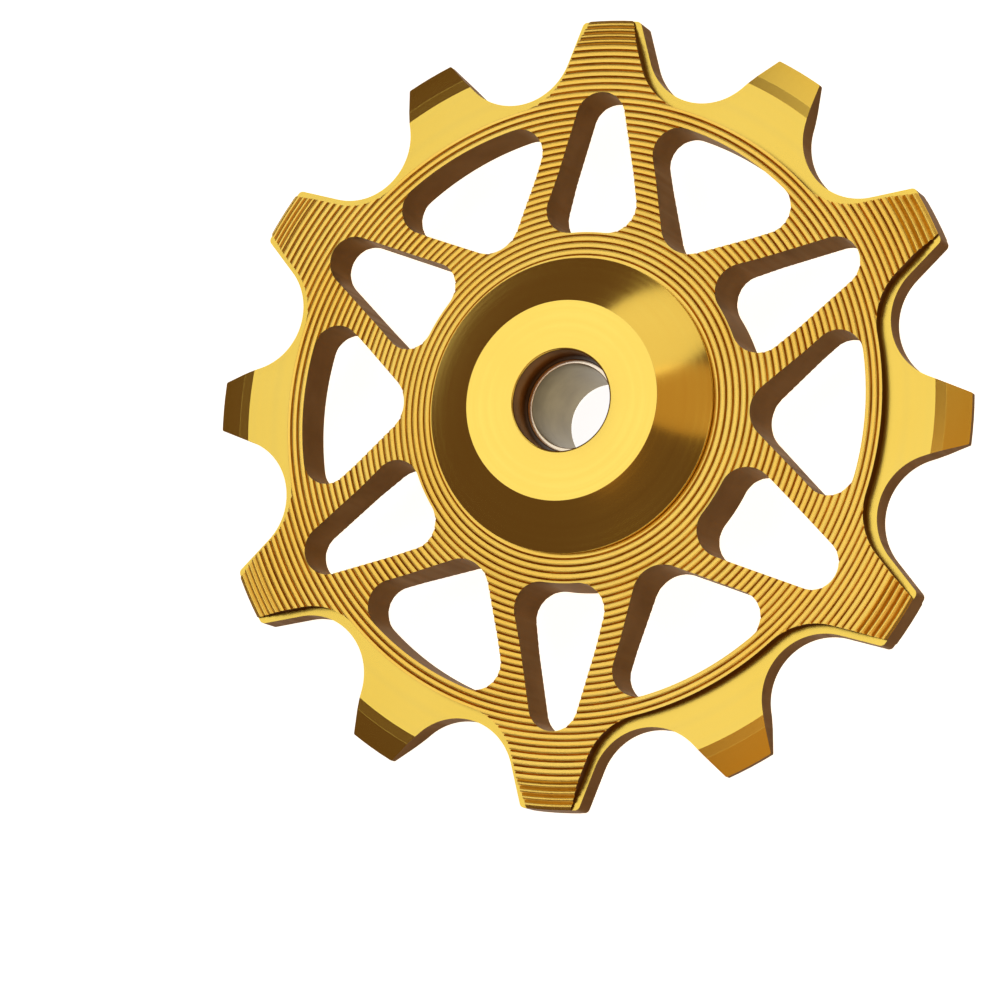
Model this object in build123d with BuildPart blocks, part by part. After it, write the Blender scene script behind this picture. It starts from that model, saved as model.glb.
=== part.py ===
from build123d import *

import os
from math import cos, radians, sin, tan

# Derailleur jockey wheel: a narrow-wide toothed pulley on a cartridge ball bearing, between two dished caps.
# Millimetres. The wheel lies flat: the spin axis is Z, the front face looks up +Z, and the origin is on the axis
# at mid thickness. One wide tooth points to +Y.

# Chain and teeth
chain_pitch = 12.7
roller_radius = 3.91
tooth_pairs = 6
tip_height = 0.665
narrow_flank_angle = 18.45
wide_flank_angle = 18.1
seat_shift_angle = 0.41
narrow_thickness = 1.8
narrow_tip_thickness = 0.5
narrow_bevel_length = 2.15
narrow_bevel_break_length = 1.5
narrow_bevel_break_depth = 0.125
wide_tip_thickness = 2.1
wide_bevel_length = 1.6

# Web, and the pads that make the wide teeth wide
web_thickness = 3.4
root_ledge = 0.72
flank_ledge = 0.42
pad_root_fillet = 4.2

# Windows and the zigzag spokes between them
rim_width = 1.05
spoke_width = 1.41
spoke_lean_angle = 13.1
spoke_line_radius = 6.59
window_inner_radius = 11.17
wide_window_tip_fillet = 1.64
wide_window_corner_fillet = 1.72
narrow_window_tip_fillet = 2.0
narrow_window_corner_fillet = 1.65

# Cartridge bearing in the hub
bearing_bore_radius = 3.0
bearing_radius = 7.5
bearing_width = 5.0
ball_radius = 1.19
ball_count = 8
race_gap = 0.02
race_depth = 0.26
race_floor_width = 0.8
race_shoulder_angle = 33
seal_thickness = 0.5
seal_recess = 0.05
seal_gap = 0.08

# Ball cage: a crown with a prong between each two balls
cage_land_gap = 0.3
cage_ring_thickness = 0.4
prong_height = 0.55
pocket_gap = 0.07

# Hub, caps and axle sleeve
hub_wall = 2.0
hub_slope_length = 5.8
hub_length = 9.0
cap_setback = 0.11
cap_flat_radius = 6.34
cap_edge_thickness = 0.24
cap_running_gap = 0.15
cap_sleeve_gap = 0.22
sleeve_gap = 0.02
sleeve_wall = 0.3
sleeve_length = 7.0

# Sizes that follow from the ones above
tooth_angle = 180 / tooth_pairs
pitch_radius = chain_pitch / 2 / sin(radians(tooth_angle / 2))
root_radius = pitch_radius - roller_radius
tip_radius = pitch_radius + tip_height
pad_radius = root_radius - root_ledge
window_outer_radius = pad_radius - rim_width
web_half = web_thickness / 2
narrow_half = narrow_thickness / 2
hub_half = bearing_width / 2
hub_face_radius = bearing_radius + hub_wall
cap_top = hub_length / 2
ball_circle_radius = (bearing_bore_radius + bearing_radius) / 2
cut_radius = pitch_radius + roller_radius
cut_height = hub_half + web_half


def on_circle(radius, angle):
    """Point of the wheel's plane at a radius and an angle in degrees."""
    return Vector(radius * cos(radians(angle)), radius * sin(radians(angle)))


# Gap between a wide tooth on the +X axis and the narrow tooth after it: a roller seat with a straight flank each side
seat_angle = tooth_angle / 2 + seat_shift_angle
seat_centre = on_circle(pitch_radius, seat_angle)
wide_normal_angle = 90 - wide_flank_angle
narrow_normal_angle = tooth_angle - 90 + narrow_flank_angle
wide_flank_root = seat_centre - on_circle(roller_radius, wide_normal_angle)
narrow_flank_root = seat_centre - on_circle(roller_radius, narrow_normal_angle)
flank_length = 2 * roller_radius
with BuildSketch() as tooth_gap:
    with BuildLine():
        wide_flank = PolarLine(wide_flank_root, flank_length, -wide_flank_angle)
        ThreePointArc(wide_flank_root, on_circle(root_radius, seat_angle), narrow_flank_root)
        narrow_flank = PolarLine(narrow_flank_root, flank_length, tooth_angle + narrow_flank_angle)
        Line(wide_flank @ 1, narrow_flank @ 1)
    make_face()

# Outline of the raised area: a disc with a pad on every wide tooth, set in from the tooth's flanks by a ledge
pad_line_distance = wide_flank_root.dot(on_circle(1, wide_normal_angle)) - flank_ledge


def pad_half_width(radius):
    """Half width of a wide tooth's pad at a distance along the tooth."""
    return (pad_line_distance - radius * sin(radians(wide_flank_angle))) / cos(radians(wide_flank_angle))


pad_foot = pad_radius / 2
with BuildSketch() as pad_outline:
    with PolarLocations(0, 1, start_angle=tooth_angle):
        Circle(pad_radius)
    with PolarLocations(0, tooth_pairs, start_angle=tooth_angle):
        Polygon(
            (pad_foot, -pad_half_width(pad_foot)),
            (cut_radius, -pad_half_width(cut_radius)),
            (cut_radius, pad_half_width(cut_radius)),
            (pad_foot, pad_half_width(pad_foot)),
            align=None,
        )
    fillet(pad_outline.vertices().group_by(SortBy.DISTANCE)[0], pad_root_fillet)

# Window under a wide tooth: it points outwards, and its sides run along the spokes
wide_side_distance = spoke_line_radius - spoke_width / 2
wide_window_tip = wide_side_distance / sin(radians(spoke_lean_angle))
wide_window_spread = wide_side_distance / cos(radians(spoke_lean_angle))
with BuildSketch() as wide_window:
    Polygon((wide_window_tip, 0), (0, wide_window_spread), (0, -wide_window_spread), align=None)
    Circle(window_inner_radius, mode=Mode.SUBTRACT)
    fillet(wide_window.vertices().sort_by(SortBy.DISTANCE)[-1], wide_window_tip_fillet)
    fillet(wide_window.vertices().group_by(SortBy.DISTANCE)[0], wide_window_corner_fillet)

# Window under a narrow tooth: it points inwards, and its outer side is a rim of even width
narrow_side_distance = spoke_line_radius + spoke_width / 2
narrow_side_angle = tooth_angle + spoke_lean_angle
narrow_window_tip = narrow_side_distance / sin(radians(narrow_side_angle))
narrow_window_spread = (cut_radius - narrow_window_tip) * tan(radians(narrow_side_angle))
with BuildSketch() as narrow_window:
    Polygon(
        (narrow_window_tip, 0),
        (cut_radius, narrow_window_spread),
        (cut_radius, -narrow_window_spread),
        align=None,
    )
    with PolarLocations(0, 1, start_angle=180):
        Circle(window_outer_radius, mode=Mode.INTERSECT)
    fillet(narrow_window.vertices().group_by(SortBy.DISTANCE)[-1], narrow_window_corner_fillet)
    fillet(narrow_window.vertices().sort_by(SortBy.DISTANCE)[0], narrow_window_tip_fillet)

# Cutter for the two-stage bevel that thins each narrow tooth towards its tip
sector_spread = cut_radius * tan(radians(tooth_angle / 2))
with BuildPart() as narrow_bevel:
    with BuildSketch(Plane.XZ):
        with BuildLine():
            Polyline(
                (tip_radius - narrow_bevel_length, narrow_half),
                (tip_radius - narrow_bevel_break_length, narrow_half - narrow_bevel_break_depth),
                (tip_radius, narrow_tip_thickness / 2),
                (cut_radius, narrow_tip_thickness / 2),
                (cut_radius, cut_height),
                (tip_radius - narrow_bevel_length, cut_height),
                close=True,
            )
        make_face()
        mirror(about=Plane.XZ)
    revolve(axis=Axis.Z)
    with BuildSketch():
        with PolarLocations(0, tooth_pairs):
            Polygon((0, 0), (cut_radius, -sector_spread), (cut_radius, sector_spread), align=None)
    extrude(amount=cut_height, both=True, mode=Mode.INTERSECT)

# Toothed wheel: a turned blank, then tooth gaps, relieved narrow teeth, tip bevels and windows
with BuildPart() as toothed_wheel:
    with BuildSketch(Plane.XZ):
        with BuildLine():
            Polyline(
                (bearing_radius, 0),
                (tip_radius, 0),
                (tip_radius, wide_tip_thickness / 2),
                (tip_radius - wide_bevel_length, web_half),
                (hub_face_radius + hub_slope_length, web_half),
                (hub_face_radius, hub_half),
                (bearing_radius, hub_half),
                close=True,
            )
        make_face()
        mirror(about=Plane.XZ)
    revolve(axis=Axis.Z)
    with BuildSketch():
        with PolarLocations(0, tooth_pairs, start_angle=tooth_angle):
            add(tooth_gap.sketch)
            add(mirror(tooth_gap.sketch, about=Plane.XZ, mode=Mode.PRIVATE))
    extrude(amount=cut_height, both=True, mode=Mode.SUBTRACT)
    for side in (1, -1):
        with BuildSketch(Plane.XY.offset(side * narrow_half)):
            Circle(cut_radius)
            add(pad_outline.sketch, mode=Mode.SUBTRACT)
        extrude(amount=side * cut_height, mode=Mode.SUBTRACT)
    add(narrow_bevel.part, mode=Mode.SUBTRACT)
    with BuildSketch():
        with PolarLocations(0, tooth_pairs, start_angle=tooth_angle):
            add(wide_window.sketch)
        with PolarLocations(0, tooth_pairs):
            add(narrow_window.sketch)
    extrude(amount=cut_height, both=True, mode=Mode.SUBTRACT)

# Bearing rings: turned sections with a ball race that has sloping shoulders
inner_race_radius = ball_circle_radius - ball_radius - race_gap
outer_race_radius = ball_circle_radius + ball_radius + race_gap
inner_land_radius = inner_race_radius + race_depth
outer_land_radius = outer_race_radius - race_depth
race_floor_half = race_floor_width / 2
race_mouth_half = race_floor_half + race_depth / tan(radians(race_shoulder_angle))
with BuildPart() as bearing_inner_ring:
    with BuildSketch(Plane.XZ):
        with BuildLine():
            Polyline(
                (bearing_bore_radius, 0),
                (inner_race_radius, 0),
                (inner_race_radius, race_floor_half),
                (inner_land_radius, race_mouth_half),
                (inner_land_radius, hub_half),
                (bearing_bore_radius, hub_half),
                close=True,
            )
        make_face()
        mirror(about=Plane.XZ)
    revolve(axis=Axis.Z)
with BuildPart() as bearing_outer_ring:
    with BuildSketch(Plane.XZ):
        with BuildLine():
            Polyline(
                (bearing_radius, 0),
                (outer_race_radius, 0),
                (outer_race_radius, race_floor_half),
                (outer_land_radius, race_mouth_half),
                (outer_land_radius, hub_half),
                (bearing_radius, hub_half),
                close=True,
            )
        make_face()
        mirror(about=Plane.XZ)
    revolve(axis=Axis.Z)

# Ball cage: a crown, with prongs that reach between the balls from a ring behind them
cage_inner_radius = inner_land_radius + cage_land_gap
cage_outer_radius = outer_land_radius - cage_land_gap
pocket_radius = ball_radius + pocket_gap
with BuildPart() as bearing_cage:
    with BuildSketch(Plane.XY.offset(-pocket_radius)):
        Circle(cage_outer_radius)
        Circle(cage_inner_radius, mode=Mode.SUBTRACT)
    extrude(amount=-cage_ring_thickness)
    with BuildSketch(Plane.XY.offset(-pocket_radius)):
        Circle(cage_outer_radius)
        Circle(cage_inner_radius, mode=Mode.SUBTRACT)
        with PolarLocations(ball_circle_radius, ball_count):
            Circle(pocket_radius, mode=Mode.SUBTRACT)
    extrude(amount=pocket_radius + prong_height)

# Seals close the bearing on both faces, pressed into the outer ring and just clear of the inner one
with BuildPart() as bearing_seal_front:
    with BuildSketch(Plane.XY.offset(hub_half - seal_recess)):
        Circle(outer_land_radius)
        Circle(inner_land_radius + seal_gap, mode=Mode.SUBTRACT)
    extrude(amount=-seal_thickness)
with BuildPart() as bearing_seal_rear:
    mirror(bearing_seal_front.part, about=Plane.XY)

# Caps: a flat ring with a conical skirt outside and a spigot that stands on the bearing's inner ring
sleeve_radius = bearing_bore_radius - sleeve_gap
cap_bore_radius = sleeve_radius + cap_sleeve_gap
cap_radius = hub_face_radius - cap_setback
skirt_under = hub_half + cap_running_gap
with BuildPart() as front_cap:
    with BuildSketch(Plane.XZ):
        with BuildLine():
            Polyline(
                (cap_bore_radius, hub_half),
                (inner_land_radius, hub_half),
                (inner_land_radius, skirt_under),
                (cap_radius, skirt_under),
                (cap_radius, skirt_under + cap_edge_thickness),
                (cap_flat_radius, cap_top),
                (cap_bore_radius, cap_top),
                close=True,
            )
        make_face()
    revolve(axis=Axis.Z)
with BuildPart() as rear_cap:
    mirror(front_cap.part, about=Plane.XY)

# Axle sleeve: a thin steel bush through the bearing, level with the rear cap and sunk into the front one
with BuildPart() as axle_sleeve:
    with BuildSketch(Plane.XY.offset(-cap_top)):
        Circle(sleeve_radius)
        Circle(sleeve_radius - sleeve_wall, mode=Mode.SUBTRACT)
    extrude(amount=sleeve_length)

# One file for each piece
os.makedirs("parts", exist_ok=True)
pieces = {
    "toothed_wheel": toothed_wheel,
    "bearing_outer_ring": bearing_outer_ring,
    "bearing_inner_ring": bearing_inner_ring,
    "bearing_cage": bearing_cage,
    "bearing_seal_front": bearing_seal_front,
    "bearing_seal_rear": bearing_seal_rear,
    "front_cap": front_cap,
    "rear_cap": rear_cap,
    "axle_sleeve": axle_sleeve,
}
for node, piece in pieces.items():
    piece.part.label = node
    export_step(piece.part, f"parts/{node}.step")
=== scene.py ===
from math import atan2, ceil, cos, degrees, pi, radians, sin, sqrt

import bmesh
import bpy
from mathutils import Matrix, Quaternion, Vector


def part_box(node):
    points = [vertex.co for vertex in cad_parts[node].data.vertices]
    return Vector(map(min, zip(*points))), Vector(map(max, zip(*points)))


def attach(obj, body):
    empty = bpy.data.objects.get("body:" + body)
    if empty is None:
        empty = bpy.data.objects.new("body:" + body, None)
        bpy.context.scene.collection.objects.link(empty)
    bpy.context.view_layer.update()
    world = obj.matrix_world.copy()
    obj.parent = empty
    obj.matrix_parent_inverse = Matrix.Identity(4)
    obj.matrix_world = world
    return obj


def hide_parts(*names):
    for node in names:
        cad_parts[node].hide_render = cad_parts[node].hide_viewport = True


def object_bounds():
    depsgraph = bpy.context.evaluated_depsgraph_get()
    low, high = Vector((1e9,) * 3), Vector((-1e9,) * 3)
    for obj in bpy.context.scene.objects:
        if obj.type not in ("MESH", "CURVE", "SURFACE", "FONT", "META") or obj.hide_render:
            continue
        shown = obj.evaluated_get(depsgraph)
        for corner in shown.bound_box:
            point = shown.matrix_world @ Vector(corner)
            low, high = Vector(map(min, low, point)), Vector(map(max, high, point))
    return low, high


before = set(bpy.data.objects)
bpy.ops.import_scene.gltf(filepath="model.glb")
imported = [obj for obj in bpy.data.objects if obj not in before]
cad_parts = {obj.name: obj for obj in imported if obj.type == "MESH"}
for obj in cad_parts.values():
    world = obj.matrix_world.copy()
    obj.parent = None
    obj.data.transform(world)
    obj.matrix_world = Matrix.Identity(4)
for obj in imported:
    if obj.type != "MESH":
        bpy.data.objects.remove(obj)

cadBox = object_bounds()
mm = 0.001
scene = bpy.context.scene
print("frame loaded:", ", ".join(sorted(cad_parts)))


def hexColour(code):
    # sRGB hex to linear
    parts = [int(code[i:i + 2], 16) / 255 for i in (1, 3, 5)]
    return [*(c / 12.92 if c <= 0.04045 else ((c + 0.055) / 1.055) ** 2.4 for c in parts), 1]


def addNode(tree, kind, links=None, **settings):
    # a link is a socket, a node for its first output, or a plain value
    node = tree.nodes.new(kind)
    for name, value in settings.items():
        setattr(node, name, value)
    for socket, source in (links or {}).items():
        if isinstance(source, bpy.types.Node):
            source = source.outputs[0]
        if isinstance(source, bpy.types.NodeSocket):
            tree.links.new(source, node.inputs[socket])
        else:
            node.inputs[socket].default_value = source
    return node


# Finishes

def newMaterial(name):
    material = bpy.data.materials.new(name)
    material.use_nodes = True
    tree = material.node_tree
    tree.nodes.clear()
    shader = addNode(tree, "ShaderNodeBsdfPrincipled")
    addNode(tree, "ShaderNodeOutputMaterial", {"Surface": shader})
    return material, tree, shader


# Anodised aluminium, turned: bright yellow gold, broken up by the fine rings that a lathe tool leaves
turnedGold = {
    "name": "anodisedAluminiumTurned",
    "colours": ("#FACE58", "#FFDF6E"),
    "roughness": (0.22, 0.3),
    "ringSpacing": 0.16,      # real tool marks are nearer 0.05 mm, drawn coarser so that they show
    "blotchSize": 7.0,
    "ringBump": 0.04,
}

# Anodised aluminium inside the grooves, with painted shade: the gold is darker here, standing in for the
# light that bounces twice there, so the gold reads as a thin brown line
grooveGoldPaintedShade = {
    "name": "anodisedAluminiumGroove",
    "colours": ("#D2A034", "#F6C656"),
    "roughness": (0.34, 0.42),
    "ringSpacing": 0.3,
    "blotchSize": 1.6,
    "ringBump": 0.02,
}

# Anodised aluminium, milled flat: the same gold, even and satin, with hardly any marks
milledGold = {
    "name": "anodisedAluminiumMilled",
    "colours": ("#FADA60", "#FCDE68"),
    "roughness": (0.24, 0.27),
    "ringSpacing": 1.1,
    "blotchSize": 8.0,
    "ringBump": 0.004,
}

# Anodised aluminium, fine turned: the caps' even gold, with the faintest rings
fineGold = {
    "name": "anodisedAluminiumFineTurned",
    "colours": ("#F8D965", "#FBDE6A"),
    "roughness": (0.14, 0.17),
    "ringSpacing": 0.35,
    "blotchSize": 5.0,
    "ringBump": 0.004,
}

# Anodised aluminium, cut by the side of an end mill: matt, with painted shade: a dark brown base stands in
# for the dark surroundings these walls reflect
wallGoldPaintedShade = {
    "name": "anodisedAluminiumCutWall",
    "colours": ("#4A301C", "#5B4029"),
    "edge": "#E4D0BC",        # painted shade too: a dull reflection tint keeps these walls brown where they are seen at a low angle
    "roughness": (0.4, 0.52),
    "ringSpacing": 0.6,
    "blotchSize": 2.5,
    "ringBump": 0.03,
}

# Anodised aluminium, bored, with painted shade: deep brown gold inside the caps' bores, darker than the
# caps' faces for the shade in the bores
boredGoldPaintedShade = {
    "name": "anodisedAluminiumBored",
    "colours": ("#8A5A18", "#A06C22"),
    "roughness": (0.36, 0.44),
    "ringSpacing": 0.4,
    "blotchSize": 2.0,
    "ringBump": 0.02,
}


# shares of the noise that the marks on every metal run between, and how high their rings stand
metalMarks = {"toneSpan": (0.15, 0.38), "ringSpan": (0.3, 0.7), "ringHeight": 0.05}


def metalFinish(finish):
    material, tree, shader = newMaterial(finish["name"])
    place = addNode(tree, "ShaderNodeTexCoord").outputs["Object"]
    flat = addNode(tree, "ShaderNodeVectorMath", {0: place, 1: (1, 1, 0)}, operation="MULTIPLY")
    radius = addNode(tree, "ShaderNodeVectorMath", {0: flat}, operation="LENGTH")
    rings = addNode(tree, "ShaderNodeTexNoise", {
        "W": radius.outputs["Value"], "Scale": 1 / (finish["ringSpacing"] * mm), "Detail": 2.0,
    }, noise_dimensions="1D")
    blotches = addNode(tree, "ShaderNodeTexNoise", {
        "Vector": place, "Scale": 1 / (finish["blotchSize"] * mm), "Detail": 3.0,
    })
    tone = addNode(tree, "ShaderNodeMath", {0: rings, 1: blotches}, operation="MULTIPLY")
    lowTone, highTone = metalMarks["toneSpan"]
    spread = addNode(tree, "ShaderNodeMapRange", {
        "Value": tone, "From Min": lowTone, "From Max": highTone,
    })
    dark, light = finish["colours"]
    colour = addNode(tree, "ShaderNodeMix", {
        0: spread, 6: hexColour(dark), 7: hexColour(light),
    }, data_type="RGBA")
    lowRing, highRing = metalMarks["ringSpan"]
    smooth, rough = finish["roughness"]
    roughness = addNode(tree, "ShaderNodeMapRange", {
        "Value": rings, "From Min": lowRing, "From Max": highRing, "To Min": smooth, "To Max": rough,
    })
    bump = addNode(tree, "ShaderNodeBump", {
        "Height": rings, "Strength": finish["ringBump"], "Distance": metalMarks["ringHeight"] * mm,
    })
    tree.links.new(colour.outputs[2], shader.inputs["Base Color"])
    tree.links.new(roughness.outputs[0], shader.inputs["Roughness"])
    tree.links.new(bump.outputs[0], shader.inputs["Normal"])
    shader.inputs["Metallic"].default_value = 1.0
    # a finish may tint its reflection; the walls' dull tint is painted shade
    if "edge" in finish:
        shader.inputs["Specular Tint"].default_value = hexColour(finish["edge"])
    return material


# Ground bearing steel: dull grey in the shade of the caps, fine grinding marks round the ring
bearingSteel = {"name": "groundBearingSteel", "colours": ("#6C6862", "#86817A"), "roughness": (0.28, 0.36),
                "ringSpacing": 0.2, "blotchSize": 4.0, "ringBump": 0.03}

# Plated steel sleeve, faced, with painted highlight: a bright cream line round the bore, lighter than the
# bore for the light its rim catches
sleeveRimPaintedHighlight = {"name": "platedSteelFaced", "colours": ("#F2E4C6", "#FFF6E2"), "roughness": (0.2, 0.26),
             "ringSpacing": 0.12, "blotchSize": 2.0, "ringBump": 0.01}

# Plated steel sleeve, reamed, with painted shade: satin taupe inside the bore, darker than the rim for the
# shade there
sleeveBorePaintedShade = {"name": "platedSteelReamed", "colours": ("#786844", "#908059"), "roughness": (0.3, 0.4),
              "ringSpacing": 0.25, "blotchSize": 2.4, "ringBump": 0.02}

# Moulded nitrile rubber: near black and matt
sealRubber = {"name": "mouldedNitrileRubber", "colours": ("#171614", "#23211E"), "roughness": 0.62,
              "grain": 0.12, "ior": 1.52}

# Moulded nylon: milky white, slightly glossy
cageNylon = {"name": "mouldedNylon", "colours": ("#D8D2C2", "#E6E1D4"), "roughness": 0.42,
             "grain": 0.3, "ior": 1.53}

# Silicon nitride ceramic, lapped: dark grey and mirror smooth
ballCeramic = {"name": "lappedSiliconNitride", "colours": ("#2A2A2C", "#353538"), "roughness": 0.08,
               "grain": 0.4, "ior": 2.0}

grainBump = {"strength": 0.1, "height": 0.02}


def mouldedFinish(finish):
    material, tree, shader = newMaterial(finish["name"])
    place = addNode(tree, "ShaderNodeTexCoord").outputs["Object"]
    grain = addNode(tree, "ShaderNodeTexNoise", {
        "Vector": place, "Scale": 1 / (finish["grain"] * mm), "Detail": 3.0,
    })
    dark, light = finish["colours"]
    colour = addNode(tree, "ShaderNodeMix", {
        0: grain, 6: hexColour(dark), 7: hexColour(light),
    }, data_type="RGBA")
    bump = addNode(tree, "ShaderNodeBump", {
        "Height": grain, "Strength": grainBump["strength"], "Distance": grainBump["height"] * mm,
    })
    tree.links.new(colour.outputs[2], shader.inputs["Base Color"])
    tree.links.new(bump.outputs[0], shader.inputs["Normal"])
    shader.inputs["Roughness"].default_value = finish["roughness"]
    shader.inputs["IOR"].default_value = finish["ior"]
    return material


turned, groove, milled, wall = (metalFinish(f) for f in (turnedGold, grooveGoldPaintedShade, milledGold, wallGoldPaintedShade))
fine, bored = (metalFinish(f) for f in (fineGold, boredGoldPaintedShade))
steel, faced, reamed = (metalFinish(f) for f in (bearingSteel, sleeveRimPaintedHighlight, sleeveBorePaintedShade))
rubber, nylon, ceramic = (mouldedFinish(f) for f in (sealRubber, cageNylon, ballCeramic))
print("finishes made:", len(bpy.data.materials))


# Shared mesh helpers, all in millimetres until a piece is finished

def polar(radius, angle):
    return Vector((radius * cos(radians(angle)), radius * sin(radians(angle))))


def angleOf(point):
    return degrees(atan2(point.y, point.x))


def onLine(normalAngle, distance, radius):
    # point of the line at that distance along its normal, where it crosses a circle about the axis
    return polar(distance, normalAngle) + polar(sqrt(radius ** 2 - distance ** 2), normalAngle - 90)


def arc(centre, radius, start, end, steps):
    return [centre + polar(radius, start + (end - start) * i / steps) for i in range(steps + 1)]


def mirrored(points, axisAngle=0):
    turn = Matrix.Rotation(radians(axisAngle), 2)
    flip = turn @ Matrix(((1, 0), (0, -1))) @ turn.transposed()
    return [flip @ p for p in reversed(points)]


def atHeight(points, height):
    return [(p.x, p.y, height) for p in points]


def loft(bm, rings):
    loops = [[bm.verts.new(p) for p in ring] for ring in rings]
    for low, high in zip(loops, loops[1:]):
        for i in range(len(low)):
            bm.faces.new((low[i - 1], low[i], high[i], high[i - 1]))
    bm.faces.new(loops[0])
    bm.faces.new(loops[-1])


def cutterObject(name, shells):
    bm = bmesh.new()
    for rings in shells:
        loft(bm, rings)
    bmesh.ops.recalc_face_normals(bm, faces=bm.faces)
    mesh = bpy.data.meshes.new(name)
    bm.to_mesh(mesh)
    bm.free()
    return bpy.data.objects.new(name, mesh)


def turnOver(rings):
    return [[(x, y, -z) for x, y, z in ring] for ring in rings]


# Toothed wheel

wheel = {
    "pairs": 6,
    "chainPitch": 12.7,
    "rollerRadius": 3.91,
    "seatShift": 0.41,
    "wideFlank": 18.1,
    "narrowFlank": 18.45,
    "wideTipRound": 0.35,
    "narrowTipRound": 0.12,
    "padTipRound": 0.12,
    "flankLedge": 0.42,
    "rootLedge": 0.72,
    "padRootFillet": 4.2,
    "narrowHalf": 0.9,
    "narrowTipHalf": 0.25,
    "narrowBevel": 2.15,
    "narrowBreak": 1.5,
    "narrowBreakDepth": 0.125,
    "narrowBreakLand": 0.008,
    "wideTipHalf": 1.05,
    "wideBevel": 1.6,
    "webHalf": 1.7,
    "hubFaceRadius": 9.5,
    "hubSlope": 5.8,
    "boreRadius": 7.5,
    "rimWidth": 1.05,
    "spokeWidth": 1.41,
    "spokeLean": 13.1,
    "spokeLine": 6.59,
    "windowInner": 11.17,
    "wideWindowTip": 1.64,
    "wideWindowCorner": 1.72,
    "narrowWindowTip": 2.0,
    "narrowWindowCorner": 1.65,
    "firstGroove": 9.679,
    "groovePitch": 0.4335,
    "grooveDepth": 0.12,
    "rearGrooveDepth": 0.04,
    "grooveShare": 0.31,      # part of the pitch that the cut takes, the rest is the land
    "landCrown": 0.012,
    "bevelGrooveShare": 0.57,
    "bevelGrooveDepth": 0.15,
    "plainTip": 0.12,         # part of the pitch that stays uncut at the tips
    "segments": 216,
    "arcSteps": {"tip": 10, "seat": 44, "padTip": 5, "padFillet": 24, "padRoot": 10,
                 "windowCorner": 32, "windowInner": 8, "windowOuter": 12, "bevel": 24},
    "cutReach": 29.0,
    "cutHeight": 4.0,
    "mergeGap": 0.001,
    "wallFacing": 0.3,        # finishes, the painted shade of grooves and walls among them, go by how far a face looks up or down
    "grooveFacing": 0.8,
    "milledMargin": 0.02,
    "turnedEdge": 70,         # bends that still look smooth, in degrees
    "milledEdge": 8,
    "wallEdge": 30,
}
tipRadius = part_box("toothed_wheel")[1].x / mm
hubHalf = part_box("toothed_wheel")[1].z / mm
toothAngle = 180 / wheel["pairs"]
seatAngle = toothAngle / 2 + wheel["seatShift"]
pitchRadius = wheel["chainPitch"] / 2 / sin(radians(toothAngle / 2))
rootRadius = pitchRadius - wheel["rollerRadius"]
padRadius = rootRadius - wheel["rootLedge"]
arcSteps = wheel["arcSteps"]


def flankEnd(seatAt, flankAngle, tipRound):
    # rounded tip corner and flank of a tooth on +X, on the side of the gap at seatAt
    normal = 90 - flankAngle
    distance = polar(1, normal).dot(polar(pitchRadius, seatAt)) - wheel["rollerRadius"]
    corner = onLine(normal, distance - tipRound, tipRadius - tipRound)
    outside = polar(wheel["cutReach"], angleOf(corner))
    rounding = arc(corner, tipRound, angleOf(corner), normal, arcSteps["tip"])
    return [outside, *rounding], distance


def gapOutline():
    wideSide, _ = flankEnd(seatAngle, wheel["wideFlank"], wheel["wideTipRound"])
    narrowSide, _ = flankEnd(toothAngle - seatAngle, wheel["narrowFlank"], wheel["narrowTipRound"])
    seatStart = 270 - wheel["wideFlank"]
    seatEnd = toothAngle + 90 + wheel["narrowFlank"]
    seatCentre = polar(pitchRadius, seatAngle)
    seat = arc(seatCentre, wheel["rollerRadius"], seatStart, seatEnd, arcSteps["seat"])
    return [*wideSide, *seat, *mirrored(narrowSide, toothAngle / 2)]


def reliefOutline():
    # everything round a narrow tooth that lies outside the raised pads
    normal = 90 - wheel["wideFlank"]
    distance = flankEnd(seatAngle, wheel["wideFlank"], wheel["wideTipRound"])[1] - wheel["flankLedge"]
    tipRound = wheel["padTipRound"]
    corner = onLine(normal, distance - tipRound, tipRadius - tipRound)
    fillet = wheel["padRootFillet"]
    root = onLine(normal, distance + fillet, padRadius + fillet)
    half = [
        polar(wheel["cutReach"], angleOf(corner)),
        *arc(corner, tipRound, angleOf(corner), normal, arcSteps["padTip"]),
        *arc(root, fillet, normal + 180, angleOf(root) + 180, arcSteps["padFillet"]),
        *arc(Vector((0, 0)), padRadius, angleOf(root), toothAngle, arcSteps["padRoot"])[1:],
    ]
    outline = [*half, *mirrored(half, toothAngle)[1:]]
    return [Matrix.Rotation(radians(-toothAngle), 2) @ p for p in outline]


def wideWindowOutline():
    normal = 90 - wheel["spokeLean"]
    distance = wheel["spokeLine"] - wheel["spokeWidth"] / 2
    tip = Vector(((distance - wheel["wideWindowTip"]) / sin(radians(wheel["spokeLean"])), 0))
    cornerRound = wheel["wideWindowCorner"]
    corner = onLine(normal, distance - cornerRound, wheel["windowInner"] + cornerRound)
    half = [
        *arc(tip, wheel["wideWindowTip"], 0, normal, arcSteps["windowCorner"]),
        *arc(corner, cornerRound, normal, angleOf(corner) + 180, arcSteps["windowCorner"]),
        *arc(Vector((0, 0)), wheel["windowInner"], angleOf(corner), 0, arcSteps["windowInner"])[1:],
    ]
    return [*half, *mirrored(half)[1:-1]]


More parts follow.
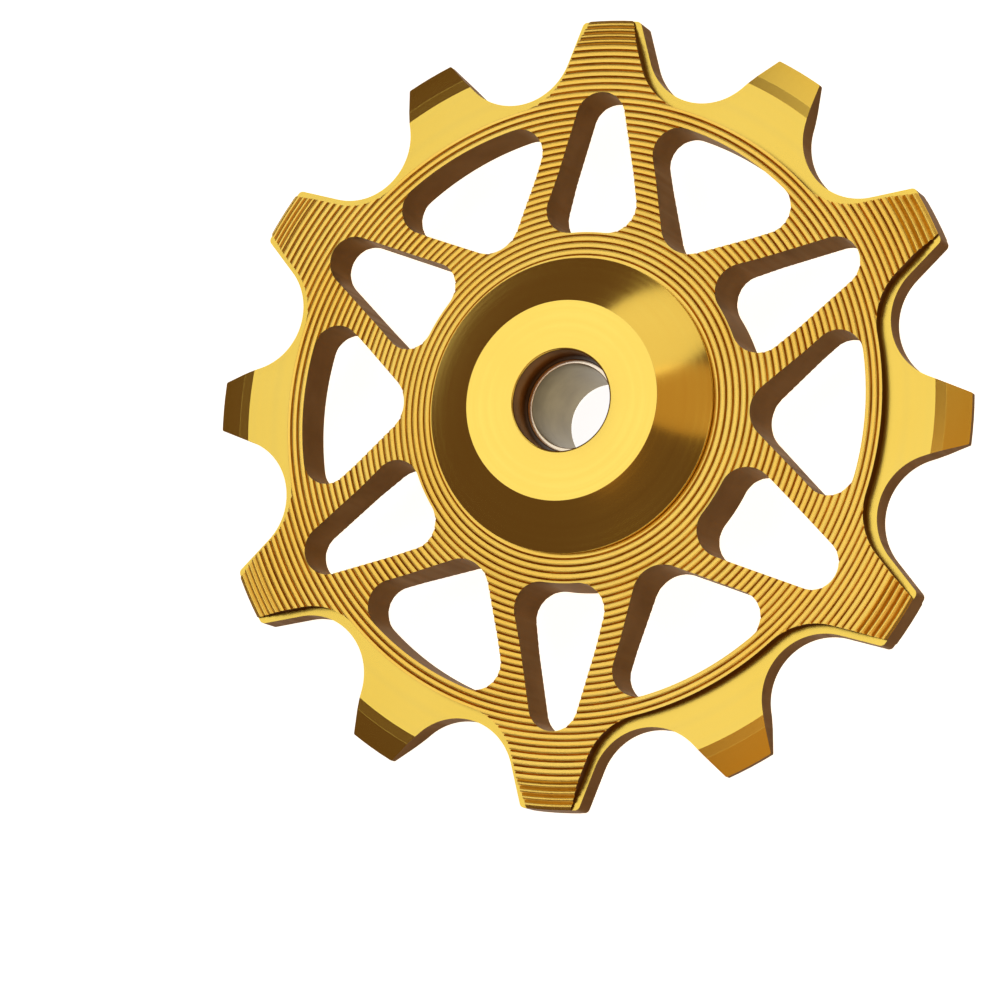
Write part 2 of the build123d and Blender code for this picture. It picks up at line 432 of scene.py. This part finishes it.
def narrowWindowOutline():
    lean = toothAngle + wheel["spokeLean"]
    distance = wheel["spokeLine"] + wheel["spokeWidth"] / 2
    outer = padRadius - wheel["rimWidth"]
    tip = Vector(((distance + wheel["narrowWindowTip"]) / sin(radians(lean)), 0))
    cornerRound = wheel["narrowWindowCorner"]
    corner = onLine(90 + lean, -distance - cornerRound, outer - cornerRound)
    half = [
        *arc(Vector((0, 0)), outer, 0, angleOf(corner), arcSteps["windowOuter"]),
        *arc(corner, cornerRound, angleOf(corner), 90 + lean, arcSteps["windowCorner"])[1:],
        *arc(tip, wheel["narrowWindowTip"], 90 + lean, 180, arcSteps["windowCorner"]),
    ]
    return [*half, *mirrored(half)[1:-1]]


def straightCut(outline, start):
    return [atHeight(outline, start), atHeight(outline, wheel["cutHeight"])]


def bevelCut():
    # the narrow tips slope down in two stages
    start = tipRadius - wheel["narrowBevel"]
    bend = tipRadius - wheel["narrowBreak"]
    bendHeight = wheel["narrowHalf"] - wheel["narrowBreakDepth"]
    section = [
        (start, wheel["narrowHalf"]),
        (bend, bendHeight),
        (bend + wheel["narrowBreakLand"], bendHeight),
        (tipRadius, wheel["narrowTipHalf"]),
        (wheel["cutReach"], wheel["narrowTipHalf"]),
        (wheel["cutReach"], wheel["cutHeight"]),
        (start, wheel["cutHeight"]),
    ]
    steps = arcSteps["bevel"]
    angles = [toothAngle * (i / steps - 0.5) for i in range(steps + 1)]
    return [[(*polar(r, angle), z) for r, z in section] for angle in angles]


below = -wheel["cutHeight"]
gap = gapOutline()
gapCuts = [straightCut(gap, below), straightCut(mirrored(gap), below)]
relief = straightCut(reliefOutline(), wheel["narrowHalf"])
tipCut = bevelCut()
# each cutter goes with the angle of its first copy
cutters = {
    "Tooth Gaps": (cutterObject("toothGaps", gapCuts), toothAngle),
    "Pad Relief": (cutterObject("padRelief", [relief, turnOver(relief)]), 0),
    "Tip Bevels": (cutterObject("tipBevels", [tipCut, turnOver(tipCut)]), 0),
    "Wide Windows": (cutterObject("wideWindows", [straightCut(wideWindowOutline(), below)]), toothAngle),
    "Narrow Windows": (cutterObject("narrowWindows", [straightCut(narrowWindowOutline(), below)]), 0),
}
print("wheel cutters made:", ", ".join(cutters))


def newTree(name, sizes):
    tree = bpy.data.node_groups.new(name, "GeometryNodeTree")
    tree.interface.new_socket(name="Mesh", in_out="OUTPUT", socket_type="NodeSocketGeometry")
    kinds = {int: "Int", float: "Float", bpy.types.Object: "Object", bpy.types.Material: "Material"}
    for label, value in sizes.items():
        tree.interface.new_socket(name=label, in_out="INPUT", socket_type="NodeSocket" + kinds[type(value)])
    return tree, addNode(tree, "NodeGroupInput").outputs


def plainMesh(name, tree, sizes):
    # runs a tree on an empty mesh and keeps what comes out
    piece = bpy.data.objects.new(name, bpy.data.meshes.new(name))
    scene.collection.objects.link(piece)
    modifier = piece.modifiers.new(name, "NODES")
    modifier.node_group = tree
    for socket in tree.interface.items_tree:
        if socket.in_out == "INPUT":
            modifier[socket.identifier] = sizes[socket.name]
    made = bpy.data.meshes.new_from_object(piece.evaluated_get(bpy.context.evaluated_depsgraph_get()))
    piece.modifiers.clear()
    piece.data = made
    made.name = name
    return piece


def wheelTree(sizes):
    tree, given = newTree("groovedWheel", sizes)
    perGroove = 6             # one point at the bottom of the cut and five across the land
    hubPoints = 2             # bore and first land edge
    # ring section: hub points, grooves and rim on top, then the same underneath
    perSide = addNode(tree, "ShaderNodeMath", {
        0: given["Grooves"], 1: perGroove, 2: hubPoints + 1,
    }, operation="MULTIPLY_ADD")
    around = addNode(tree, "ShaderNodeMath", {0: perSide, 1: 2.0}, operation="MULTIPLY")
    rows = addNode(tree, "ShaderNodeMath", {0: around, 1: 1.0}, operation="ADD")
    columns = addNode(tree, "ShaderNodeMath", {0: given["Segments"], 1: 1.0}, operation="ADD")
    grid = addNode(tree, "GeometryNodeMeshGrid", {"Vertices X": rows, "Vertices Y": columns})
    where = addNode(tree, "ShaderNodeSeparateXYZ", {0: grid.outputs["UV Map"]})
    row = addNode(tree, "ShaderNodeMath", {
        0: where.outputs["X"], 1: around, 2: 0.5,
    }, operation="MULTIPLY_ADD")
    row = addNode(tree, "ShaderNodeMath", {0: row}, operation="FLOOR")
    row = addNode(tree, "ShaderNodeMath", {0: row, 1: around}, operation="MODULO")
    back = addNode(tree, "ShaderNodeMath", {0: around, 1: row}, operation="SUBTRACT")
    back = addNode(tree, "ShaderNodeMath", {0: back, 1: 1.0}, operation="SUBTRACT")
    point = addNode(tree, "ShaderNodeMath", {0: row, 1: back}, operation="MINIMUM")
    onTop = addNode(tree, "ShaderNodeMath", {0: row, 1: perSide}, operation="LESS_THAN")
    side = addNode(tree, "ShaderNodeMath", {0: onTop, 1: 2.0, 2: -1.0}, operation="MULTIPLY_ADD")

    # place across the groove pattern
    count = addNode(tree, "ShaderNodeMath", {0: point, 1: hubPoints}, operation="SUBTRACT")
    lane = addNode(tree, "ShaderNodeMath", {0: count, 1: 0.5}, operation="ADD")
    lane = addNode(tree, "ShaderNodeMath", {0: lane, 1: perGroove}, operation="DIVIDE")
    lane = addNode(tree, "ShaderNodeMath", {0: lane}, operation="FLOOR")
    step = addNode(tree, "ShaderNodeMath", {0: lane, 1: -perGroove, 2: count}, operation="MULTIPLY_ADD")
    onLand = addNode(tree, "ShaderNodeMath", {0: step, 1: 0.5}, operation="GREATER_THAN")
    across = addNode(tree, "ShaderNodeMapRange", {
        "Value": step, "From Min": 1.0, "From Max": perGroove - 1,
    })
    bevelStart = addNode(tree, "ShaderNodeMath", {
        0: given["Tip Radius"], 1: given["Tip Bevel"],
    }, operation="SUBTRACT")

    def radiusAt(place):
        # the pitch is even along the face, so it is shorter in plan on the tip bevel
        level = addNode(tree, "ShaderNodeMath", {
            0: place, 1: given["Groove Pitch"], 2: given["First Groove"],
        }, operation="MULTIPLY_ADD")
        past = addNode(tree, "ShaderNodeMath", {0: level, 1: bevelStart}, operation="SUBTRACT")
        past = addNode(tree, "ShaderNodeMath", {0: past, 1: 0.0}, operation="MAXIMUM")
        shortened = addNode(tree, "ShaderNodeMath", {
            0: past, 1: given["Bevel Shortening"], 2: level,
        }, operation="MULTIPLY_ADD")
        return addNode(tree, "ShaderNodeMath", {0: shortened, 1: given["Tip Radius"]}, operation="MINIMUM")

    # the cuts are wider on the tip bevel
    landMiddle = addNode(tree, "ShaderNodeMath", {0: lane, 1: 0.5}, operation="ADD")
    middle = radiusAt(landMiddle)
    onBevel = addNode(tree, "ShaderNodeMath", {0: middle, 1: bevelStart}, operation="GREATER_THAN")
    taken = addNode(tree, "GeometryNodeSwitch", {
        "Switch": onBevel, "False": given["Groove Share"], "True": given["Bevel Groove Share"],
    }, input_type="FLOAT")
    edge = addNode(tree, "ShaderNodeMath", {0: taken, 1: 0.5}, operation="MULTIPLY")
    farEdge = addNode(tree, "ShaderNodeMath", {0: 1.0, 1: edge}, operation="SUBTRACT")
    phase = addNode(tree, "ShaderNodeMapRange", {"Value": across, "To Min": edge, "To Max": farEdge})
    phase = addNode(tree, "ShaderNodeMath", {0: phase, 1: onLand}, operation="MULTIPLY")
    place = addNode(tree, "ShaderNodeMath", {0: lane, 1: phase}, operation="ADD")
    radius = radiusAt(place)
    inGrooves = addNode(tree, "ShaderNodeMath", {0: point, 1: hubPoints - 0.5}, operation="GREATER_THAN")
    pastBore = addNode(tree, "ShaderNodeMath", {0: point, 1: 0.5}, operation="GREATER_THAN")
    radius = addNode(tree, "GeometryNodeSwitch", {
        "Switch": inGrooves, "False": given["First Land Edge"], "True": radius,
    }, input_type="FLOAT")
    radius = addNode(tree, "GeometryNodeSwitch", {
        "Switch": pastBore, "False": given["Bore Radius"], "True": radius,
    }, input_type="FLOAT")

    # height: hub cone, level web and tip bevel, less the groove or the crown of the land
    plainEdge = addNode(tree, "ShaderNodeMath", {
        0: given["Groove Pitch"], 1: -wheel["plainTip"], 2: given["Tip Radius"],
    }, operation="MULTIPLY_ADD")
    onFace = addNode(tree, "ShaderNodeMath", {0: radius, 1: plainEdge}, operation="LESS_THAN")
    onFace = addNode(tree, "ShaderNodeMath", {0: onFace, 1: inGrooves}, operation="MULTIPLY")
    # lands on a slope stay level, as small steps
    levelled = addNode(tree, "ShaderNodeMath", {0: onLand, 1: onFace}, operation="MULTIPLY")
    slopeAt = addNode(tree, "ShaderNodeMapRange", {"Value": levelled, "To Min": radius, "To Max": middle})
    coneEnd = addNode(tree, "ShaderNodeMath", {
        0: given["Hub Face Radius"], 1: given["Hub Slope"],
    }, operation="ADD")
    cone = addNode(tree, "ShaderNodeMapRange", {
        "Value": slopeAt, "From Min": given["Hub Face Radius"], "From Max": coneEnd,
        "To Min": given["Hub Half"], "To Max": given["Web Half"],
    })
    bevelDrop = addNode(tree, "ShaderNodeMath", {
        0: given["Web Half"], 1: given["Tip Half"],
    }, operation="SUBTRACT")
    bevel = addNode(tree, "ShaderNodeMapRange", {
        "Value": slopeAt, "From Min": bevelStart, "From Max": given["Tip Radius"], "To Max": bevelDrop,
    })
    offCentre = addNode(tree, "ShaderNodeMath", {0: across, 1: 2.0, 2: -1.0}, operation="MULTIPLY_ADD")
    crown = addNode(tree, "ShaderNodeMath", {0: offCentre, 1: offCentre}, operation="MULTIPLY")
    crown = addNode(tree, "ShaderNodeMath", {0: crown, 1: given["Land Crown"]}, operation="MULTIPLY")
    depth = addNode(tree, "GeometryNodeSwitch", {
        "Switch": onBevel, "False": given["Groove Depth"], "True": given["Bevel Groove Depth"],
    }, input_type="FLOAT")
    depth = addNode(tree, "GeometryNodeSwitch", {
        "Switch": onTop, "False": given["Rear Groove Depth"], "True": depth,
    }, input_type="FLOAT")
    drop = addNode(tree, "GeometryNodeSwitch", {
        "Switch": onLand, "False": depth, "True": crown,
    }, input_type="FLOAT")
    drop = addNode(tree, "ShaderNodeMath", {0: drop, 1: onFace}, operation="MULTIPLY")
    height = addNode(tree, "ShaderNodeMath", {0: cone, 1: bevel}, operation="SUBTRACT")
    height = addNode(tree, "ShaderNodeMath", {0: height, 1: drop}, operation="SUBTRACT")
    height = addNode(tree, "ShaderNodeMath", {0: height, 1: side}, operation="MULTIPLY")

    # wrapped round the axis and closed into a ring
    angle = addNode(tree, "ShaderNodeMath", {0: where.outputs["Y"], 1: 2 * pi}, operation="MULTIPLY")
    along = addNode(tree, "ShaderNodeCombineXYZ", {"X": radius, "Z": height})
    wrapped = addNode(tree, "ShaderNodeVectorRotate", {
        "Vector": along, "Angle": angle,
    }, rotation_type="Z_AXIS")
    blank = addNode(tree, "GeometryNodeSetPosition", {"Geometry": grid, "Position": wrapped})
    blank = addNode(tree, "GeometryNodeMergeByDistance", {"Geometry": blank, "Distance": wheel["mergeGap"]})

    # copies of each cutter about the axis
    points = addNode(tree, "GeometryNodePoints", {"Count": given["Tooth Pairs"]})
    number = addNode(tree, "GeometryNodeInputIndex")
    share = addNode(tree, "ShaderNodeMath", {0: number, 1: given["Tooth Pairs"]}, operation="DIVIDE")
    cut = addNode(tree, "GeometryNodeMeshBoolean", {
        "Mesh 1": blank,
    }, operation="DIFFERENCE", solver="MANIFOLD")
    for label, (_, startAngle) in cutters.items():
        shape = addNode(tree, "GeometryNodeObjectInfo", {"Object": given[label]})
        turn = addNode(tree, "ShaderNodeMath", {
            0: share, 1: 2 * pi, 2: radians(startAngle),
        }, operation="MULTIPLY_ADD")
        euler = addNode(tree, "ShaderNodeCombineXYZ", {"Z": turn})
        copies = addNode(tree, "GeometryNodeInstanceOnPoints", {
            "Points": points, "Instance": shape.outputs["Geometry"], "Rotation": euler,
        })
        tree.links.new(copies.outputs[0], cut.inputs["Mesh 2"])

    # real size, then finishes by where a face lies and how it faces; the groove and wall finishes carry
    # painted shade
    sized = addNode(tree, "GeometryNodeTransform", {"Geometry": cut, "Scale": (mm, mm, mm)})
    normal = addNode(tree, "ShaderNodeSeparateXYZ", {0: addNode(tree, "GeometryNodeInputNormal")})
    facing = addNode(tree, "ShaderNodeMath", {0: normal.outputs["Z"]}, operation="ABSOLUTE")
    isWall = addNode(tree, "ShaderNodeMath", {0: facing, 1: wheel["wallFacing"]}, operation="LESS_THAN")
    isGrooveShade = addNode(tree, "ShaderNodeMath", {0: facing, 1: wheel["grooveFacing"]}, operation="LESS_THAN")
    position = addNode(tree, "ShaderNodeSeparateXYZ", {0: addNode(tree, "GeometryNodeInputPosition")})
    level = addNode(tree, "ShaderNodeMath", {0: position.outputs["Z"]}, operation="ABSOLUTE")
    level = addNode(tree, "ShaderNodeMath", {0: level, 1: mm}, operation="DIVIDE")
    milledTop = addNode(tree, "ShaderNodeMath", {
        0: given["Narrow Half"], 1: wheel["milledMargin"],
    }, operation="ADD")
    isMilled = addNode(tree, "ShaderNodeMath", {0: level, 1: milledTop}, operation="LESS_THAN")
    bend = addNode(tree, "GeometryNodeInputMeshEdgeAngle")
    limit = addNode(tree, "GeometryNodeSwitch", {
        "Switch": isMilled, "False": radians(wheel["turnedEdge"]), "True": radians(wheel["milledEdge"]),
    }, input_type="FLOAT")
    limit = addNode(tree, "GeometryNodeSwitch", {
        "Switch": isWall, "False": limit, "True": radians(wheel["wallEdge"]),
    }, input_type="FLOAT")
    isSmooth = addNode(tree, "ShaderNodeMath", {0: bend, 1: limit}, operation="LESS_THAN")
    shaded = addNode(tree, "GeometryNodeSetShadeSmooth", {
        "Geometry": sized, "Shade Smooth": isSmooth,
    }, domain="EDGE")
    whole = addNode(tree, "GeometryNodeRealizeInstances", {"Geometry": shaded})
    painted = addNode(tree, "GeometryNodeSetMaterial", {"Geometry": whole, "Material": given["Turned"]})
    for label, chosen in {"Groove": isGrooveShade, "Milled": isMilled, "Wall": isWall}.items():
        painted = addNode(tree, "GeometryNodeSetMaterial", {
            "Geometry": painted, "Selection": chosen, "Material": given[label],
        })
    addNode(tree, "NodeGroupOutput", {0: painted})
    return tree


bevelFace = sqrt(wheel["wideBevel"] ** 2 + (wheel["webHalf"] - wheel["wideTipHalf"]) ** 2)
faceRun = tipRadius - wheel["wideBevel"] - wheel["firstGroove"] + bevelFace
wheelSizes = {
    "Grooves": ceil(faceRun / wheel["groovePitch"]),
    "Segments": wheel["segments"],
    "Tooth Pairs": wheel["pairs"],
    "Groove Share": wheel["grooveShare"],
    "Groove Pitch": wheel["groovePitch"],
    "Groove Depth": wheel["grooveDepth"],
    "Bevel Groove Depth": wheel["bevelGrooveDepth"],
    "Rear Groove Depth": wheel["rearGrooveDepth"],
    "First Groove": wheel["firstGroove"],
    "First Land Edge": wheel["firstGroove"] - wheel["groovePitch"] * wheel["grooveShare"] / 2,
    "Land Crown": wheel["landCrown"],
    "Bevel Groove Share": wheel["bevelGrooveShare"],
    "Tip Radius": tipRadius,
    "Tip Bevel": wheel["wideBevel"],
    "Bevel Shortening": wheel["wideBevel"] / bevelFace - 1,
    "Tip Half": wheel["wideTipHalf"],
    "Web Half": wheel["webHalf"],
    "Hub Half": hubHalf,
    "Hub Face Radius": wheel["hubFaceRadius"],
    "Hub Slope": wheel["hubSlope"],
    "Bore Radius": wheel["boreRadius"],
    "Narrow Half": wheel["narrowHalf"],
    "Turned": turned,
    "Groove": groove,
    "Milled": milled,
    "Wall": wall,
}
for label, (cutter, _) in cutters.items():
    wheelSizes[label] = cutter
groovedWheel = plainMesh("groovedWheel", wheelTree(wheelSizes), wheelSizes)
for cutter, _ in cutters.values():
    bpy.data.objects.remove(cutter)
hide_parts("toothed_wheel")
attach(groovedWheel, "wheel")
print("grooved wheel:", len(groovedWheel.data.polygons), "faces")


# Caps and sleeve, turned from a section whose corners are broken

turning = {"segments": 160, "cornerSteps": 4, "seamGap": 0.0001, "softEdge": 32}


def brokenSection(corners):
    # corners are (radius, height, rounding)
    points = []
    for i, (r, z, rounding) in enumerate(corners):
        here = Vector((r, z))
        before = Vector(corners[i - 1][:2]) - here
        after = Vector(corners[(i + 1) % len(corners)][:2]) - here
        if rounding == 0:
            points.append(here)
            continue
        half = before.angle(after) / 2
        start = here + before.normalized() * rounding / abs(sin(half)) * cos(half)
        end = here + after.normalized() * rounding / abs(sin(half)) * cos(half)
        centre = here + (before.normalized() + after.normalized()).normalized() * rounding / sin(half)
        first = angleOf(start - centre)
        sweep = (angleOf(end - centre) - first + 180) % 360 - 180
        points += arc(centre, rounding, first, first + sweep, turning["cornerSteps"])
    return points


def turnedPiece(name, corners, material):
    bm = bmesh.new()
    section = [bm.verts.new((p.x * mm, 0, p.y * mm)) for p in brokenSection(corners)]
    edges = [bm.edges.new((section[i - 1], section[i])) for i in range(len(section))]
    bmesh.ops.spin(bm, geom=edges, axis=(0, 0, 1), cent=(0, 0, 0), angle=2 * pi,
                   steps=turning["segments"], use_merge=True)
    bmesh.ops.remove_doubles(bm, verts=bm.verts, dist=turning["seamGap"] * mm)
    bmesh.ops.recalc_face_normals(bm, faces=bm.faces)
    for edge in bm.edges:
        edge.smooth = edge.calc_face_angle(0) < radians(turning["softEdge"])
    for face in bm.faces:
        face.smooth = True
    mesh = bpy.data.meshes.new(name)
    bm.to_mesh(mesh)
    bm.free()
    mesh.materials.append(material)
    piece = bpy.data.objects.new(name, mesh)
    scene.collection.objects.link(piece)
    return piece


cap = {
    "bore": 3.2,
    "spigot": 4.3,
    "flatRadius": 6.34,
    "skirtUnder": 2.65,
    "edgeThickness": 0.24,
    "boreBreak": 0.12,
    "boreEdge": 3.32,
    "boreFacing": 0.3,
    "edgeBreak": 0.05,
}
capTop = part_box("front_cap")[1].z / mm
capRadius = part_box("front_cap")[1].x / mm
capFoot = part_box("front_cap")[0].z / mm
capSection = [
    (cap["bore"], capFoot, 0),
    (cap["spigot"], capFoot, 0),
    (cap["spigot"], cap["skirtUnder"], 0),
    (capRadius, cap["skirtUnder"], cap["edgeBreak"]),
    (capRadius, cap["skirtUnder"] + cap["edgeThickness"], cap["edgeBreak"]),
    (cap["flatRadius"], capTop, cap["edgeBreak"]),
    (cap["bore"], capTop, cap["boreBreak"]),
]
for name, node, side in (("frontCap", "front_cap", 1), ("rearCap", "rear_cap", -1)):
    piece = turnedPiece(name, [(r, side * z, rounding) for r, z, rounding in capSection], fine)
    piece.data.materials.append(bored)
    # the bore's walls take the bored finish, whose darker gold is painted shade
    for face in piece.data.polygons:
        inBore = face.center.xy.length < cap["boreEdge"] * mm
        face.material_index = 1 if inBore and abs(face.normal.z) < cap["boreFacing"] else 0
    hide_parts(node)
    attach(piece, "hub")
print("caps turned")

sleeve = {"wall": 0.3, "rimBreak": 0.05, "rimFacing": 0.5}
sleeveLow, sleeveHigh = (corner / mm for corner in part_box("axle_sleeve"))
sleeveSection = [
    (sleeveHigh.x - sleeve["wall"], sleeveLow.z, sleeve["rimBreak"]),
    (sleeveHigh.x, sleeveLow.z, sleeve["rimBreak"]),
    (sleeveHigh.x, sleeveHigh.z, sleeve["rimBreak"]),
    (sleeveHigh.x - sleeve["wall"], sleeveHigh.z, sleeve["rimBreak"]),
]
axleSleeve = turnedPiece("axleSleeve", sleeveSection, faced)
# the rim takes the painted highlight and the bore the painted shade
axleSleeve.data.materials.append(reamed)
for face in axleSleeve.data.polygons:
    face.material_index = 0 if abs(face.normal.z) > sleeve["rimFacing"] else 1
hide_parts("axle_sleeve")
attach(axleSleeve, "hub")
print("sleeve turned")


# Ceramic balls in the cage

balls = {"count": 8, "radius": 1.19, "circle": 5.25, "segments": 32, "rings": 16}


def ballTree(sizes):
    tree, given = newTree("ceramicBalls", sizes)
    circle = addNode(tree, "GeometryNodeMeshCircle", {
        "Vertices": given["Count"], "Radius": given["Circle Radius"],
    })
    ball = addNode(tree, "GeometryNodeMeshUVSphere", {
        "Segments": balls["segments"], "Rings": balls["rings"], "Radius": given["Ball Radius"],
    })
    copies = addNode(tree, "GeometryNodeInstanceOnPoints", {"Points": circle, "Instance": ball})
    smooth = addNode(tree, "GeometryNodeSetShadeSmooth", {"Geometry": copies})
    whole = addNode(tree, "GeometryNodeRealizeInstances", {"Geometry": smooth})
    painted = addNode(tree, "GeometryNodeSetMaterial", {"Geometry": whole, "Material": given["Ceramic"]})
    addNode(tree, "NodeGroupOutput", {0: painted})
    return tree


ballSizes = {
    "Count": balls["count"],
    "Ball Radius": balls["radius"] * mm,
    "Circle Radius": balls["circle"] * mm,
    "Ceramic": ceramic,
}
ceramicBalls = plainMesh("ceramicBalls", ballTree(ballSizes), ballSizes)
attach(ceramicBalls, "cage")
print("balls:", balls["count"])


# Bearing pieces keep their solids and take their finishes

for node, material in {
    "bearing_inner_ring": steel,
    "bearing_outer_ring": steel,
    "bearing_cage": nylon,
    "bearing_seal_front": rubber,
    "bearing_seal_rear": rubber,
}.items():
    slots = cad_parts[node].data.materials
    slots.clear()
    slots.append(material)
print("bearing finished")


# Floor, light and camera

floorLook = {"colour": "#F4F4F4", "size": 8.0, "glow": 0.92}


def floorMaterial():
    material = bpy.data.materials.new("paleFloor")
    material.use_nodes = True
    tree = material.node_tree
    tree.nodes.clear()
    paper = addNode(tree, "ShaderNodeBsdfDiffuse", {"Color": hexColour(floorLook["colour"])})
    path = addNode(tree, "ShaderNodeLightPath")
    seen = addNode(tree, "ShaderNodeMath", {
        0: path.outputs["Is Camera Ray"], 1: path.outputs["Is Glossy Ray"],
    }, operation="ADD")
    seen = addNode(tree, "ShaderNodeMath", {
        0: seen, 1: path.outputs["Is Transmission Ray"],
    }, operation="ADD", use_clamp=True)
    strength = addNode(tree, "ShaderNodeMath", {0: seen, 1: floorLook["glow"]}, operation="MULTIPLY")
    glow = addNode(tree, "ShaderNodeEmission", {"Strength": strength})
    both = addNode(tree, "ShaderNodeAddShader", {0: paper, 1: glow})
    addNode(tree, "ShaderNodeOutputMaterial", {"Surface": both})
    return material


floorMesh = bpy.data.meshes.new("floor")
half = floorLook["size"] / 2
floorCorners = [(x, y, cadBox[0].z) for x, y in ((-half, -half), (half, -half), (half, half), (-half, half))]
floorMesh.from_pydata(floorCorners, [], [(0, 1, 2, 3)])
floorMesh.materials.append(floorMaterial())
floor = bpy.data.objects.new("floor", floorMesh)
scene.collection.objects.link(floor)

# each panel hangs in a direction from the wheel and faces it
panels = {
    "faceLight": {"towards": (-0.33, 0.15, 0.932), "distance": 0.6, "size": (0.33, 0.33), "radiance": 1.0,
                  "colour": "#FFFFFF"},
    "topLight": {"towards": (0.22, 0.65, 0.73), "distance": 0.7, "size": (0.54, 0.54), "radiance": 0.79,
                 "colour": "#FFF6E4"},
    "warmFill": {"towards": (0.124, -0.215, 0.969), "distance": 0.9, "size": (0.84, 0.48), "radiance": 0.45,
                 "colour": "#FFBE68", "roll": 30},
    "edgeFill": {"towards": (0.6, 0.21, 0.772), "distance": 0.8, "size": (0.45, 0.45), "radiance": 0.38,
                 "colour": "#FFCB80"},
    "overheadLight": {"towards": (0, 0, 1), "distance": 0.9, "size": (0.2, 0.2), "radiance": 0.8,
                      "colour": "#FFF6E4"},
    "backLight": {"towards": (0.18, 0.945, 0.273), "distance": 0.8, "size": (0.3, 0.2), "radiance": 0.9,
                  "colour": "#FFF6E4"},
    "rightLight": {"towards": (0.87, -0.03, 0.5), "distance": 0.8, "size": (0.4, 0.4), "radiance": 0.7,
                   "colour": "#FFF6E4"},
    "sideLight": {"towards": (0.47, -0.81, 0.34), "distance": 0.8, "size": (1.5, 0.5), "radiance": 0.8,
                  "colour": "#FFF6E4"},
}
for name, panel in panels.items():
    lamp = bpy.data.lights.new(name, "AREA")
    lamp.shape = "ELLIPSE"
    lamp.size, lamp.size_y = panel["size"]
    lamp.color = hexColour(panel["colour"])[:3]
    # a panel of radiance 1 looks white itself
    lamp.energy = panel["radiance"] * pi * pi * lamp.size * lamp.size_y / 4
    light = bpy.data.objects.new(name, lamp)
    direction = Vector(panel["towards"]).normalized()
    light.location = direction * panel["distance"]
    roll = Quaternion((0, 0, 1), radians(panel.get("roll", 0)))
    light.rotation_euler = (direction.to_track_quat("Z", "Y") @ roll).to_euler()
    scene.collection.objects.link(light)

surround = {"colour": "#624A3E", "strength": 1.0}
world = bpy.data.worlds.new("studio")
scene.world = world
world.use_nodes = True
background = world.node_tree.nodes["Background"]
background.inputs["Color"].default_value = hexColour(surround["colour"])
background.inputs["Strength"].default_value = surround["strength"]

shot = {"place": (97.848, -44.586, 250.111), "turn": (10.077, 21.674, 5.041), "lens": 155.436,
        "sensor": 36.0, "nearest": 10}
lens = bpy.data.cameras.new("camera")
lens.lens = shot["lens"]
lens.sensor_width = shot["sensor"]
lens.clip_start = shot["nearest"] * mm
camera = bpy.data.objects.new("camera", lens)
camera.location = Vector(shot["place"]) * mm
camera.rotation_euler = [radians(a) for a in shot["turn"]]
scene.collection.objects.link(camera)
scene.camera = camera
scene.view_settings.view_transform = "Standard"
print("floor, light and camera set")
